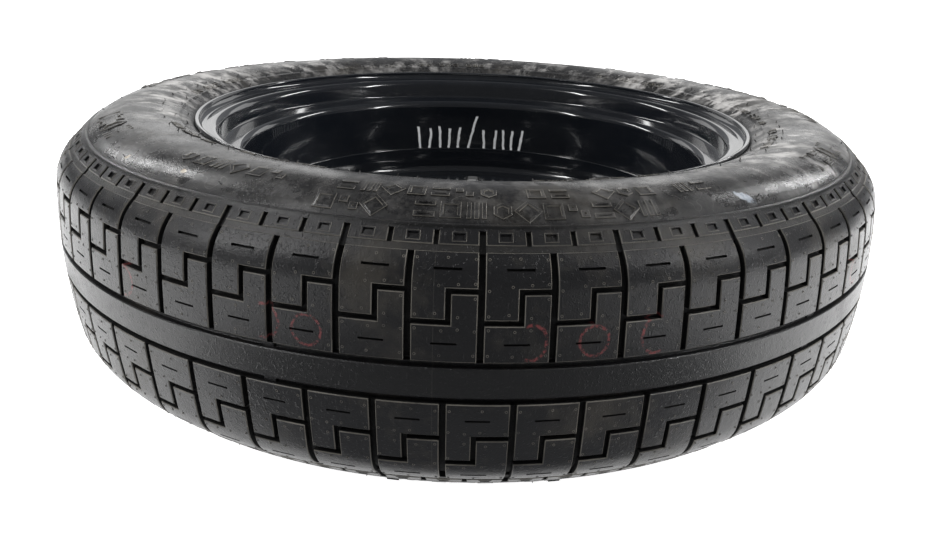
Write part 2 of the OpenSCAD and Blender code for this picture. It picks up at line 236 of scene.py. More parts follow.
def casing_outside():
    chamfer = 0.7
    floor = crown(rib_half, groove_depth)
    under = [p for p in skin_points(groove_depth + 1.0) if p[1] > ring_groove_out + 3]
    top = [(tyre_r, 0), (tyre_r, rib_half - chamfer), (tyre_r - chamfer, rib_half)]
    top += [(floor + 0.8, rib_half + 0.25), (floor, rib_half + 1.1)]
    top += [(crown(ring_groove_out, groove_depth), ring_groove_out + 1)]
    rib = [(ring_r + 3, slot_end), (ring_r + 2.0, ring_z - 0.6), (ring_r + 1.5, ring_z + 0.1)]
    rib += [(ring_r + 0.7, ring_z + 0.9), (ring_r - 0.2, ring_z + 1.35)]
    rib += [(ring_r - 1.0, ring_z + 1.3), (ring_r - 1.8, ring_z + 0.9)]
    wall = arc(widest_r, out_cz, out_r, ring_a + 8, 90, 14)
    wall += arc(widest_r, in_cz, in_r, 91, line_a - 1.6, 14)
    wall += arc(widest_r, in_cz, in_r + line_h * 0.8, line_a - 0.9, line_a - 0.5, 1)
    wall += arc(widest_r, in_cz, in_r + line_h, line_a - 0.3, line_a, 1)
    wall += arc(widest_r, in_cz, in_r, line_a + 0.8, bead_a, 5)
    bead = [(lip_r + fit_gap, curl_cz - 1)]
    bead += arc(curl_cr, curl_cz, curl_r + fit_gap, -20, -90, 8)
    heel = seat_r0 + heel_r + fit_gap
    bead += arc(heel, flange_z - heel_r - fit_gap, heel_r, 90, 180, 5)
    return top + under + rib + wall + bead

def casing_inside():
    toe = [(seat_at(toe_z + 4) + fit_gap, toe_z + 4), (seat_at(toe_z) + 4, toe_z)]
    wall = [(lip_r - 8, toe_z + 1)]
    wall += arc(widest_r, in_cz, in_r - 10.5, bead_a - 8, bead_a - 12, 1)
    wall += arc(widest_r, in_cz, in_r - 6.5, bead_a - 22, 96, 4)
    wall += arc(widest_r, out_cz, out_r - 6.5, 90, 8, 8)
    return toe + wall + [(crown(z) - 12.5, z) for z in np.arange(out_cz - 8, 0, -16)]

half = casing_outside() + casing_inside()
casing = spin(draw("tyre_casing", half + mirrored(half)[:-1]), 324)

# %% [markdown]
# The tread is modelled flat, as a strip two pitches long and half the tread wide, and
# then laid round the casing. Flat work is easy to select by place: every groove is cut
# out of a plane with bisects, pushed down, and its edges are chamfered, because a
# mould never leaves a knife edge on rubber.

# %% A flat plane cut along the grooves
strip_start = -0.22 * pitch
strip_end = strip_start + 2 * pitch
rows = [ring_groove_out, 21, 26.7, 28.1, 34, step_low - step_w / 2, step_low + step_w / 2]
rows += [48.5, 54, step_high - step_w / 2, step_high + step_w / 2, 66.5, 70, 73.3, 74.7]
square, square_half, channel_depth = (87.0, 91.7), 4.8, 0.8
rows += [78.5, tread_half, slot_z, *square, slot_end]
columns = [-cross_w / 2, cross_w / 2, 0.19 * pitch, 0.34 * pitch]
columns += [stem_at * pitch - step_w / 2, stem_at * pitch + step_w / 2, 0.7 * pitch]
low_sipe, high_sipe = (0.5 * pitch, 8.2), (0.53 * pitch, 8.9)

def flat_plane(name, x0, x1, y0, y1):
    deselect()
    bpy.ops.mesh.primitive_plane_add(size=1)
    obj = named(name)
    bpy.ops.object.mode_set(mode="EDIT")
    bpy.ops.transform.resize(value=((x1 - x0) * MM, (y1 - y0) * MM, 1))
    bpy.ops.transform.translate(value=((x0 + x1) / 2 * MM, (y0 + y1) / 2 * MM, 0))
    return obj

def choose(obj, test, mode="FACE"):
    """Selects the faces or edges for which test is true. Middles are in millimetres."""
    bpy.ops.mesh.select_mode(type=mode)
    bpy.ops.mesh.select_all(action="DESELECT")
    mesh = bmesh.from_edit_mesh(obj.data)
    for part in mesh.faces if mode == "FACE" else mesh.edges:
        middle = sum((v.co for v in part.verts), Vector()) / len(part.verts) / MM
        part.select = bool(test(middle, part))
    mesh.select_flush_mode()
    bmesh.update_edit_mesh(obj.data)

def cut(obj, x=None, y=None, low=-1e9, high=1e9, left=-1e9, right=1e9):
    choose(obj, lambda c, f: low < c.y < high and left < c.x < right)
    at, normal = ((x * MM, 0, 0), (1, 0, 0)) if y is None else ((0, y * MM, 0), (0, 1, 0))
    bpy.ops.mesh.bisect(plane_co=at, plane_no=normal)

strip = flat_plane("tread_upper", strip_start, strip_end, s_at(rows[0]), skin_s[-1])
for z in rows[1:-1]:
    cut(strip, y=s_at(z))
for k in (0, 1, 2):
    for x in columns:
        if strip_start < x + k * pitch < strip_end:
            cut(strip, x=x + k * pitch)
print("flat strip", len(bmesh.from_edit_mesh(strip.data).faces), "faces")

# %% Sipes, shoulder slots and the small squares get cuts of their own
for k in (0, 1):
    for (at, reach), z in ((low_sipe, 27.4), (high_sipe, 74.0)):
        for x in (at - reach, at + reach):
            cut(strip, x=x + k * pitch, low=s_at(z) - 0.6, high=s_at(z) + 0.6)
thirds = [pitch * 2 / 3, pitch * 4 / 3]
middles = [pitch / 3, pitch, pitch * 5 / 3]
for x in thirds:
    for side in (-slot_w / 2, slot_w / 2):
        cut(strip, x=x + side, low=s_at(slot_z))
for x in middles:
    for side in (-square_half, square_half):
        cut(strip, x=x + side, low=s_at(square[0]), high=s_at(square[1]))
print("after the small cuts", len(bmesh.from_edit_mesh(strip.data).faces), "faces")

# %% Push the grooves down
def in_slot(c):
    if c.y < s_at(tread_half):
        return False
    runs = abs(c.x) < cross_w / 2 or abs(c.x - 2 * pitch) < cross_w / 2
    return runs or (c.y > s_at(slot_z) and any(abs(c.x - x) < slot_w / 2 for x in thirds))

def in_groove(c):
    if c.y > s_at(tread_half):
        return False
    x = c.x % pitch
    stem, leg = stem_at * pitch, step_w / 2
    low, high = abs(c.y - step_low) < leg, abs(c.y - s_at(step_high)) < leg
    tall = s_at(step_low) - leg < c.y < s_at(step_high) + leg
    return (
        min(x, pitch - x) < cross_w / 2
        or (low and x < stem + leg)
        or (high and x > stem - leg)
        or (tall and abs(x - stem) < leg)
    )

def push(depth):
    bpy.ops.mesh.extrude_region_move(TRANSFORM_OT_translate={"value": (0, 0, -depth * MM)})

def in_channel(c):
    return s_at(tread_half) < c.y < s_at(slot_z)

choose(strip, lambda c, f: in_channel(c) or in_slot(c) or in_groove(c))
push(channel_depth)
choose(strip, lambda c, f: f.normal.z > 0.9 and (in_slot(c) or in_groove(c)))
push(slot_depth - channel_depth)
choose(strip, lambda c, f: in_groove(c) and f.normal.z > 0.9 and c.z < -1)
push(groove_depth - slot_depth)

# The strips have to join end to end, so the walls that close a groove there go again
ends = (strip_start, strip_end)
choose(strip, lambda c, f: abs(f.normal.x) > 0.9 and any(abs(c.x - x) < 0.01 for x in ends))
bpy.ops.mesh.delete(type="FACE")
print("grooved strip", len(bmesh.from_edit_mesh(strip.data).faces), "faces")

# %% Fold the long rims down and chamfer the edges
low_rim, high_rim = s_at(rows[0]), skin_s[-1]
fold_depth, edge_chamfer = 6, 0.6

def on_rim(e):
    ys = [v.co.y / MM for v in e.verts]
    return len(e.link_faces) == 1 and any(
        all(abs(y - rim) < 0.01 for y in ys) for rim in (low_rim, high_rim)
    )

choose(strip, lambda c, e: on_rim(e), "EDGE")
push(fold_depth)
mesh = bmesh.from_edit_mesh(strip.data)
for v in mesh.verts:
    if v.co.z < (0.5 - fold_depth) * MM:
        v.co.z = -fold_depth * MM
bmesh.update_edit_mesh(strip.data)

def is_edge(c, e):
    if abs(c.z) > 0.01 or len(e.link_faces) != 2 or c.y > high_rim - 0.01:
        return False
    tops = [f.normal.z > 0.9 for f in e.link_faces]
    return tops[0] != tops[1]

choose(strip, is_edge, "EDGE")
bpy.ops.mesh.bevel(offset=edge_chamfer * MM, segments=1, affect="EDGES")

def note(obj, label, test, value=1.0):
    """Notes on the faces where test is true, under a label that the material reads."""
    mesh = bmesh.from_edit_mesh(obj.data)
    layer = mesh.faces.layers.float.get(label) or mesh.faces.layers.float.new(label)
    for f in mesh.faces:
        if test(f):
            f[layer] = value
    bmesh.update_edit_mesh(obj.data)

def middle_of(f):
    return f.calc_center_median() / MM

def on_channel_floor(f):
    return f.normal.z > 0.95 and abs(middle_of(f).z + channel_depth) < 0.1

note(strip, "worn_edge", lambda f: 0.3 < f.normal.z < 0.95)
note(strip, "in_groove", lambda f: middle_of(f).z < -0.9)
note(strip, "worn_edge", on_channel_floor, 0.12)
print("chamfered strip", len(bmesh.from_edit_mesh(strip.data).faces), "faces")

# %% Press in the sipes and raise the squares
def in_sipe(c, f):
    x = c.x % pitch
    return c.z > -0.1 and any(
        abs(c.y - s_at(z)) < 0.6 and abs(x - at) < reach
        for (at, reach), z in ((low_sipe, 27.4), (high_sipe, 74.0))
    )

sipe_depth = 2.4
choose(strip, in_sipe)
push(sipe_depth)
note(strip, "in_groove", lambda f: middle_of(f).z < -0.9)

def in_square(c, f):
    in_row = s_at(square[0]) < c.y < s_at(square[1])
    return in_row and any(abs(c.x - x) < square_half for x in middles)

def on_raised_square(f):
    middle = middle_of(f)
    return f.normal.z < 0.95 and middle.z > -0.2 and middle.y > s_at(square[0])

choose(strip, in_square)
bpy.ops.mesh.inset(thickness=0.35 * MM, depth=0.4 * MM)
bpy.ops.mesh.inset(thickness=0.8 * MM, depth=0)
bpy.ops.mesh.inset(thickness=0.35 * MM, depth=-1.5 * MM)
note(strip, "worn_edge", on_raised_square)
bpy.ops.object.mode_set(mode="OBJECT")

# %% Small round vent marks near the corners of the blocks
dot_places = [(4.6, 20), (20, 19.5), (41, 20), (4.6, 37), (21, 36), (31, 37), (41.5, 36), (4.6, 46)]
dot_places += [(17, 47), (31, 45), (41.5, 57), (4.6, 62), (19, 64.5), (31, 65.5), (41.5, 66)]
dot_places += [(4.6, 79), (24, 79.5), (41.5, 79)]
dots = []
for k in (0, 1):
    for x, z in dot_places:
        bpy.ops.mesh.primitive_cylinder_add(vertices=8, radius=1.0 * MM, depth=0.7 * MM)
        spot = bpy.context.object
        spot.data.transform(Matrix.Translation(((x + k * pitch) * MM, s_at(z) * MM, -0.17 * MM)))
        edit(spot, "DESELECT")
        choose(spot, lambda c, f: f.normal.z > 0.9)
        bpy.ops.mesh.inset(thickness=0.35 * MM, depth=0)
        bpy.ops.mesh.inset(thickness=0.1 * MM, depth=-0.3 * MM)
        note(spot, "worn_edge", lambda f: f.normal.z > 0.9)
        bpy.ops.object.mode_set(mode="OBJECT")
        dots.append(spot)
strip = join([strip] + dots, "tread_upper")
print("finished strip", len(strip.data.polygons), "faces")

# %% [markdown]
# Twenty-seven strips in a row make one half of the tread. An Array modifier lines them
# up, and a short function lays the row round the casing: length along the row becomes
# the angle, width becomes the place along the skin, and height stays height. The marks
# on the sidewall are laid the same way further down.

# %% Helpers that lay flat work round the tyre
def along(curve, lengths, directions, s):
    """Radius, height and direction of a curve at the length s."""
    columns = (curve[:, 0], curve[:, 1], directions[:, 0], directions[:, 1])
    return [np.interp(s, lengths, column) for column in columns]

def flat_points(obj):
    co = np.empty(len(obj.data.vertices) * 3, np.float32)
    obj.data.vertices.foreach_get("co", co)
    return co.reshape(-1, 3).astype(float) / MM

def set_round(obj, r, angle, z):
    laid = np.stack([r * np.sin(angle), -r * np.cos(angle), z], 1) * MM
    obj.data.vertices.foreach_set("co", laid.astype(np.float32).ravel())
    obj.data.update()

def turned_over(obj, name):
    """A copy for the other side of the tyre, turned over and shifted by half a pitch."""
    pick(obj)
    bpy.ops.object.duplicate()
    copy = named(name)
    copy.rotation_euler = (0, math.pi, math.pi / pitches)
    bpy.ops.object.transform_apply(rotation=True)
    return copy

# %% Lay the tread round the tyre
pick(strip)
array = strip.modifiers.new("row", "ARRAY")
array.count = pitches // 2
array.use_relative_offset = False
array.use_constant_offset = True
array.constant_offset_displace = (2 * pitch * MM, 0, 0)
array.use_merge_vertices = True
array.merge_threshold = 1e-5
bpy.ops.object.modifier_apply(modifier="row")
flat = flat_points(strip)
r, z, dr, dz = along(skin, skin_s, skin_dir, flat[:, 1])
set_round(strip, r + dz * flat[:, 2], flat[:, 0] / tyre_r, z - dr * flat[:, 2])

edit(strip)
bpy.ops.mesh.remove_doubles(threshold=4e-6)
choose(strip, lambda c, e: len(e.link_faces) == 1, "EDGE")
bpy.ops.mesh.bridge_edge_loops()
bpy.ops.mesh.select_all(action="SELECT")
bpy.ops.mesh.normals_make_consistent(inside=False)
bpy.ops.object.mode_set(mode="OBJECT")
bpy.ops.object.shade_smooth_by_angle(angle=math.radians(30))
tread_upper = strip
print("upper tread", sum(len(p.vertices) - 2 for p in tread_upper.data.polygons), "triangles")

# %% The lower half is the same, turned over
tread_lower = turned_over(tread_upper, "tread_lower")
print("lower tread", len(tread_lower.data.polygons), "faces")

# %% [markdown]
# Low bars cross the grooves at six places round the tyre. When the tread has worn down
# to them, the tyre is done. They are plain blocks, set on the groove's floor.

# %% Wear bars
bar_sets, first_bar, bar_z = 6, -20.5, 12.9
bar_size = (9 * MM, 2.6 * MM, 5.0 * MM, 1)
bars = []
for i in range(bar_sets):
    for z in (-bar_z, bar_z):
        a = math.radians(first_bar + 360 / bar_sets * i)
        bpy.ops.mesh.primitive_cube_add(size=1)
        bar = bpy.context.object
        r = crown(z) - groove_depth + 0.5
        bar.data.transform(
            Matrix.Rotation(a, 4, "Z") @ Matrix.Translation((0, -r * MM, z * MM))
            @ Matrix.Diagonal(bar_size)
        )
        bars.append(bar)
wear_bars = join(bars, "wear_bars")
edit(wear_bars)
bpy.ops.mesh.bevel(offset=0.3 * MM, segments=1, affect="EDGES")
bpy.ops.object.mode_set(mode="OBJECT")
print(len(bars), "wear bars")

# %% [markdown]
# Moulded marks stand on the sidewall. Here they are plain outlined shapes: frames,
# lozenges, bars and steps, in two rows near the shoulder and one small row near the
# rim. Each is a flat plate, raised, with its middle pressed back in so that only an
# outline stands up, and the whole row is then bent round the wall at its radius.

# %% Raised marks, drawn flat
wall = np.array([p for p in casing_outside() if p[1] > ring_z + 0.8 and p[0] < ring_r])
wall = wall[: int(np.argmax(wall[:, 0] < lip_r + 2.5))]
wall_s = np.concatenate([[0], np.cumsum(np.hypot(*np.diff(wall, axis=0).T))])
wall_dir = np.gradient(wall, wall_s, axis=0)

def s_of_radius(r):
    return float(np.interp(-r, -wall[:, 0], wall_s))

def plate(x, y, w, h, line=1.7, height=1.0, turn=0.0, sides=4):
    """A raised outline w by h millimetres about (x, y), or a solid bar if line is 0."""
    sunk = 0.5
    corner_r = math.sqrt(0.5) if sides == 4 else 0.5
    deselect()
    bpy.ops.mesh.primitive_circle_add(vertices=sides, radius=corner_r, fill_type="NGON")
    obj = bpy.context.object
    bpy.ops.object.mode_set(mode="EDIT")
    bpy.ops.mesh.select_mode(type="FACE")
    bpy.ops.mesh.select_all(action="SELECT")
    spot = math.radians(turn + (45 if sides == 4 else 0))
    obj.data.update()
    mesh = bmesh.from_edit_mesh(obj.data)
    bmesh.ops.rotate(mesh, verts=mesh.verts, matrix=Matrix.Rotation(spot, 3, "Z"))
    bpy.ops.transform.resize(value=(w * MM, h * MM, 1))
    bpy.ops.transform.translate(value=(x * MM, y * MM, -sunk * MM))
    push(0.3 - sunk - height)
    bpy.ops.mesh.inset(thickness=0.35 * MM, depth=0.3 * MM)
    if line:
        bpy.ops.mesh.inset(thickness=line * MM)
        bpy.ops.mesh.inset(thickness=0.35 * MM, depth=-0.8 * MM)
    note(obj, "worn_edge", lambda f: 0.1 < f.normal.z < 0.95)
    bpy.ops.object.mode_set(mode="OBJECT")
    return obj

def mark(kind, x, y, w, h):
    if kind == "frame":
        return [plate(x, y, w, h)]
    if kind == "lozenge":
        return [plate(x, y, w, h, turn=45)]
    if kind == "bars":
        return [plate(x + d * w, y, w * 0.22, h, line=0) for d in (-0.36, 0, 0.36)]
    if kind == "steps":
        return [plate(x + d * w, y + d * h * 0.7, w * 0.42, h * 0.42) for d in (-0.28, 0.28)]
    if kind == "beam":
        return [plate(x, y + d * h, w, h * 0.3) for d in (-0.34, 0.34)]
    return [plate(x, y, w, h, sides=6)]

def mark_row(kinds, r, start, step, w, h):
    """A row of marks round the wall at radius r, from an angle in degrees."""
    made = []
    for i, kind in enumerate(kinds):
        if kind:
            made += mark(kind, i * step, 0, w, h)
    obj = join(made, "marks")
    flat = flat_points(obj)
    wr, wz, dr, dz = along(wall, wall_s, wall_dir, s_of_radius(r) - flat[:, 1])
    wz = np.minimum(wz - dr * flat[:, 2], half_w - 0.02)
    set_round(obj, wr + dz * flat[:, 2], flat[:, 0] / r + math.radians(start), wz)
    return obj

# %% Two large rows, a slanted group and small rows near the rim
row_a = ["frame", "steps", "lozenge", None, "beam", "frame", "bars", "hexagon", "lozenge"]
row_a += ["frame", "steps", "beam", "lozenge", "bars"]
row_b = ["beam", "bars", "lozenge", "frame", "beam", "steps", "hexagon", None, "frame"]
row_b += ["beam", None, "lozenge", "hexagon", "frame", None, "bars", "beam"]
slanted = ["hexagon", "frame", "bars", "lozenge", "frame", "steps"]
large = ["frame", "beam", "hexagon", "bars"]
small = ["frame", "bars", "frame", None, "beam", "lozenge", "frame", None, "hexagon", "bars"]
all_rows = [
    (row_a, 351.0, -16.6, 16.3, 13.2, 13.2), (row_b, 334.5, -15.0, 15.2, 11.6, 12),
    (slanted, 333, -38, 16.4, 12, 14), (large, 340, -68, 20, 16, 22),
    (small, 291, 58, 9, 6.5, 7), (small[::-1], 287, 82, 8, 5.5, 6), (small, 289, -112, 10, 7, 8),
]
rows_of_marks = []
for turn in (0, 120, 240):
    for kinds, r, start, step, w, h in all_rows:
        rows_of_marks.append(mark_row(kinds, r, turn + start, step, w, h))
marks_upper = join(rows_of_marks, "sidewall_marks_upper")
edit(marks_upper)
bpy.ops.mesh.normals_make_consistent(inside=False)
bpy.ops.object.mode_set(mode="OBJECT")
marks_lower = turned_over(marks_upper, "sidewall_marks_lower")
print("sidewall marks", len(marks_upper.data.polygons), "faces a side")

# %% [markdown]
# Moulds have tiny vent holes, and each leaves a short rubber hair. They stand in loose
# rings on the sidewall. One tapered hair is modelled, and seeded random draws place and
# lean its copies.

# %% Vent hairs
rng = np.random.default_rng(7)
foot_r, tip_r, sunk = 0.55, 0.3, 0.2

def hair(r, degrees, length, lean):
    deselect()
    bpy.ops.mesh.primitive_cone_add(vertices=6, radius1=foot_r * MM, radius2=tip_r * MM, depth=length * MM)
    obj = bpy.context.object
    wr, wz, dr, dz = (float(value) for value in along(wall, wall_s, wall_dir, s_of_radius(r)))
    a = math.radians(degrees)
    out = Vector((dz * math.sin(a), -dz * math.cos(a), -dr))
    place = Vector((wr * math.sin(a), -wr * math.cos(a), wz)) * MM
    stand = (out + Vector(lean)).normalized()
    obj.data.transform(
        Matrix.Translation(place + stand * (length / 2 - sunk) * MM)
        @ stand.to_track_quat("Z", "Y").to_matrix().to_4x4()
    )
    return obj

hair_rings = [(277, 48, 4.2), (287, 36, 3.6), (298, 66, 2.9), (341, 18, 2.2), (353, 24, 3.2)]
hairs = []
for r, count, longest in hair_rings:
    for i in range(count):
        degrees = 360 / count * (i + rng.uniform(-0.25, 0.25))
        lean = (rng.uniform(-0.7, 0.7), rng.uniform(-0.7, 0.7), 0)
        hairs.append(hair(r + rng.uniform(-1.5, 1.5), degrees, rng.uniform(0.5, 1) * longest, lean))
hairs_upper = join(hairs, "vent_hairs_upper")
hairs_lower = turned_over(hairs_upper, "vent_hairs_lower")
print("vent hairs", len(hairs), "a side")

# %% [markdown]
# The rim and the disc are bent from sheet, so both are drawn the same way: a middle
# line with a bend radius at each corner, and an outline at half the sheet's thickness
# on either side of it. Their cut edges are rounded a little, as a press leaves them.

# %% A bent sheet's outline
def bend(a, b, c, r, d, n):
    a, b, c = (np.array(p, float) for p in (a, b, c))
    u, v = (b - a) / np.hypot(*(b - a)), (c - b) / np.hypot(*(c - b))
    turn = math.atan2(u[0] * v[1] - u[1] * v[0], float(u @ v))
    s = math.copysign(1, turn)
    left = np.array([-u[1], u[0]])
    centre = b - u * r * math.tan(abs(turn) / 2) + left * r * s
    out = []
    for t in np.linspace(0, turn, n + 1):
        arm = -left * s
        arm = np.array([arm[0] * math.cos(t) - arm[1] * math.sin(t),
                        arm[0] * math.sin(t) + arm[1] * math.cos(t)])
        out.append(tuple(centre + arm * (r - s * d)))
    return out

def side_line(path, d, n):
    def off(p, q, at):
        u = np.subtract(q, p) / np.hypot(*np.subtract(q, p))
        return tuple(np.array(at, float) + np.array([-u[1], u[0]]) * d)
    points = [p for p, _ in path]
    run = [off(points[0], points[1], points[0])]
    for i in range(1, len(path) - 1):
        run += bend(points[i - 1], points[i], points[i + 1], path[i][1], d, n)
    return run + [off(points[-2], points[-1], points[-1])]

def apart(points):
    return [p for i, p in enumerate(points) if i == 0 or math.dist(p, points[i - 1]) > 0.01]

def rounded(corner, before, after, r=0.9, n=3):
    u, v = (np.subtract(p, corner) / np.hypot(*np.subtract(p, corner)) for p in (before, after))
    centre = np.array(corner) + (u + v) * r
    a0, a1 = (math.degrees(math.atan2(*(np.array(corner) + w * r - centre)[::-1])) for w in (u, v))
    a1 += 360 * round((a0 - a1) / 360)
    return arc(centre[0], centre[1], r, a0, a1, n)

def sheet_outline(path, t, n=8):
    one, two = apart(side_line(path, t / 2, n)), apart(side_line(path, -t / 2, n)[::-1])
    return (
        rounded(one[0], two[-1], one[1]) + one[1:-1] + rounded(one[-1], one[-2], two[0])
        + rounded(two[0], one[-1], two[1]) + two[1:-1] + rounded(two[-1], two[-2], one[0])
    )

# %% Rim
def flange_line():
    r, a = curl_r - rim_t / 2, math.radians(curl_end)
    tip = (curl_cr + r * math.cos(a), curl_cz + r * math.sin(a))
    reach = r * math.tan(math.radians(45 + curl_end / 2))
    mid = rim_t / 2 / math.cos(math.radians(seat_taper))
    face = flange_z + rim_t / 2
    return [(tip, 0), ((tip[0] + math.sin(a) * reach, tip[1] - math.cos(a) * reach), r),
            ((seat_at(face) - mid, face), heel_r + rim_t / 2), ((seat_at(toe_z) - mid, toe_z), 5)]

upper = flange_line()
well = [((well_r - rim_t / 2, toe_z - ledge_w), 6), ((well_r - rim_t / 2, -slope_z), 9)]
lower = [((p[0], -p[1]), r) for p, r in reversed(upper)]
rim = spin(draw("rim_shell", sheet_outline(upper + well + lower, rim_t, 10)), 324)

# %% Disc
mid = disc_t / 2
disc_line = [
    ((disc_out - mid, skirt_z), 0),
    ((disc_out - mid, -fold_z - mid), fold_r),
    ((crown_ring_r + crown_flat + (fold_z - crown_z) * 1.4, -fold_z - mid), fold_r),
    ((crown_ring_r + crown_flat, -crown_z - mid), fold_r),
    ((crown_ring_r - crown_flat, -crown_z - mid), fold_r),
    ((pad_r, pad_z - mid), fold_r),
    ((bore_r + mid, pad_z - mid), mid + 1),
    ((bore_r + mid, pad_z - bore_l), 0),
]
disc = spin(draw("disc_pressing", sheet_outline(disc_line, disc_t, 10)), 288)

# %% [markdown]
# Vents and bolt holes are punched, so they are cut with a Boolean modifier by cutters
# joined into one object. The bolt seats are raised cones on the outer side, spun once
# and copied round the bolt circle.

# %% Punch the disc
def ring_of(n, radius, start):
    """Places on a circle, from an angle in degrees."""
    for i in range(n):
        a = math.radians(start + i * 360 / n)
        yield radius * math.cos(a) * MM, radius * math.sin(a) * MM

vents, bolts = (12, crown_ring_r, 0), (5, bolt_pcd / 2, 36)
cutters = []
for ring, r, z in ((vents, vent_r, -crown_z), (bolts, seat_r, pad_z)):
    for x, y in ring_of(*ring):
        bpy.ops.mesh.primitive_cylinder_add(
            vertices=64, radius=r * MM, depth=30 * MM, location=(x, y, z * MM)
        )
        cutters.append(bpy.context.object)
cutter = join(cutters, "cutters")
pick(disc)
punch = disc.modifiers.new("punch", "BOOLEAN")
punch.object, punch.solver = cutter, "EXACT"
bpy.ops.object.modifier_apply(modifier="punch")
bpy.data.objects.remove(cutter)
bpy.ops.object.shade_smooth_by_angle(angle=math.radians(30))
print("punched disc", len(disc.data.polygons), "faces")

# %% Bolt seats
top, foot = pad_z, pad_z - disc_t - 3.5
seat_profile = [
    (bolt_r, top - 0.4), (bolt_r + 0.4, top), (seat_r + 0.3, top), (seat_r + 0.3, top - disc_t),
    (seat_r + 4.6, top - disc_t + 0.1), (seat_r + 4.4, top - disc_t - 0.5), (seat_r + 2.2, foot + 0.5),
    (seat_r + 1.4, foot), (seat_r + 0.3, foot), (seat_r, foot + 0.3), (bolt_r, foot + seat_r - bolt_r),
]
seat = spin(draw("bolt_seat", seat_profile), 64)
seats = []
for x, y in ring_of(*bolts):
    copy = bpy.data.objects.new("bolt_seat", seat.data.copy())
    bpy.context.scene.collection.objects.link(copy)
    copy.data.transform(Matrix.Translation((x, y, 0)))
    seats.append(copy)
bpy.data.objects.remove(seat)
bolt_seats = join(seats, "bolt_seats")
pick(bolt_seats)
bpy.ops.object.shade_smooth_by_angle(angle=math.radians(30))

# %% [markdown]
# The valve is a rubber stem snapped into the rim's outer slope, with a threaded brass
# tube, a core with its pin, and a knurled plastic cap. Each is spun about Z and then
# set on the slope with one matrix, which is applied at once.

# %% Valve
stem_l, tube_out, tube_r, tube_bore = 26.0, 9.0, 3.9, 2.3
stem_foot = rim_t / 2 + fit_gap
tube_top = stem_l + tube_out
core_foot = tube_top - 0.5 - 1.5 - 14

def set_on_slope(obj):
    obj.data.transform(valve_place)
    obj.data.update()
    return obj

foot = -stem_foot - 5
stem_profile = [(3.95, foot), (7.6, foot), (8.6, foot + 0.3), (9.3, foot + 1.0), (9.5, foot + 1.8)]
stem_profile += [(9.5, -stem_foot), (5.35, -stem_foot), (5.35, stem_foot), (7.2, stem_foot)]
stem_profile += [(7.6, stem_foot + 0.4), (7.6, stem_foot + 2.6), (7.2, stem_foot + 3.6)]
stem_profile += [(6.4, stem_foot + 4.8), (6.0, stem_foot + 6.2)]
for z in np.arange(10, 20, 2.6):
    stem_profile += [(5.95, z), (6.15, z + 0.4), (6.15, z + 0.9), (5.9, z + 1.3)]
stem_profile += [(5.7, stem_l - 3.6), (5.2, stem_l - 1), (4.7, stem_l - 0.1), (3.95, stem_l)]
valve_stem = set_on_slope(spin(draw("valve_rubber_stem", stem_profile), 64))

tube_profile = [(tube_bore, foot), (tube_r, foot), (tube_r, stem_l + 0.6)]
for z in np.arange(stem_l + 0.8, tube_top - 1.2, 0.8):
    tube_profile += [(tube_r - 0.35, z), (tube_r, z + 0.35), (tube_r, z + 0.45)]
tube_profile += [(tube_r - 0.4, tube_top - 0.4), (tube_r - 0.9, tube_top), (tube_bore, tube_top)]
valve_tube = set_on_slope(spin(draw("valve_brass_tube", tube_profile), 48))

core_top = core_foot + 14
core_profile = [(0.98, core_foot), (2.25, core_foot), (2.25, core_top - 0.3)]
core_profile += [(1.95, core_top), (0.98, core_top)]
valve_core = set_on_slope(spin(draw("valve_core_barrel", core_profile), 32))

pin_top = tube_top - 0.5
pin_profile = [(0, core_foot - 2.3), (1.6, core_foot - 2.3), (1.9, core_foot - 2.0)]
pin_profile += [(1.9, core_foot - 0.6), (1.6, core_foot - 0.3), (0.9, core_foot - 0.3)]
pin_profile += [(0.9, pin_top - 0.3), (0.6, pin_top), (0, pin_top)]
valve_pin = set_on_slope(spin(draw("valve_core_pin", pin_profile, closed=False), 32))

# %% Valve cap, with a knurl
cap_z0, cap_l, cap_r = stem_l + fit_gap, 11.5, 5.0
cap_profile = [(4.0, cap_z0), (cap_r - 0.5, cap_z0), (cap_r - 0.15, cap_z0 + 0.4)]
cap_profile += [(cap_r - 0.15, cap_z0 + 1.4), (cap_r, cap_z0 + 1.7), (cap_r, cap_z0 + 9.2)]
cap_profile += [(cap_r - 0.3, cap_z0 + 9.7), (cap_r - 0.4, cap_z0 + 10.8), (cap_r - 1.0, cap_z0 + cap_l)]
cap_profile += [(0, cap_z0 + cap_l), (0, cap_z0 + 9.5), (4.0, cap_z0 + 9.5)]
valve_cap = spin(draw("valve_cap_knurled", cap_profile), 72)
for v in valve_cap.data.vertices:
    step = round(math.degrees(math.atan2(v.co.y, v.co.x)) / 5) % 3
    if step == 0 and math.hypot(v.co.x, v.co.y) > 4.95 * MM:
        v.co.x, v.co.y = v.co.x * 0.93, v.co.y * 0.93
set_on_slope(valve_cap)

# %% [markdown]
# Finishes start with effects that several materials share. Each is a node group with
# named inputs, and it puts out only a mask or a height. Grain is the fine speckle of
# moulded rubber, patches are the soft uneven areas that dust and bloom make, and rays
# are streaks that point away from the wheel's axis, as wiping leaves them.

# %% Helpers for node groups
def new_group(name, inputs, output):
    group = bpy.data.node_groups.new(name, "ShaderNodeTree")
    for label, value in inputs:
        socket = group.interface.new_socket(label, in_out="INPUT", socket_type="NodeSocketFloat")
        socket.default_value = value
    group.interface.new_socket(output, in_out="OUTPUT", socket_type="NodeSocketFloat")
    return group, group.nodes.new("NodeGroupInput"), group.nodes.new("NodeGroupOutput")

def wire(tree, source, target):
    tree.links.new(source, target)

def feed(tree, sockets, values):
    """Each value is a number or the output of a node."""
    for socket, value in zip(sockets, values):
        if isinstance(value, (int, float)):
            socket.default_value = value
        else:
            wire(tree, value, socket)

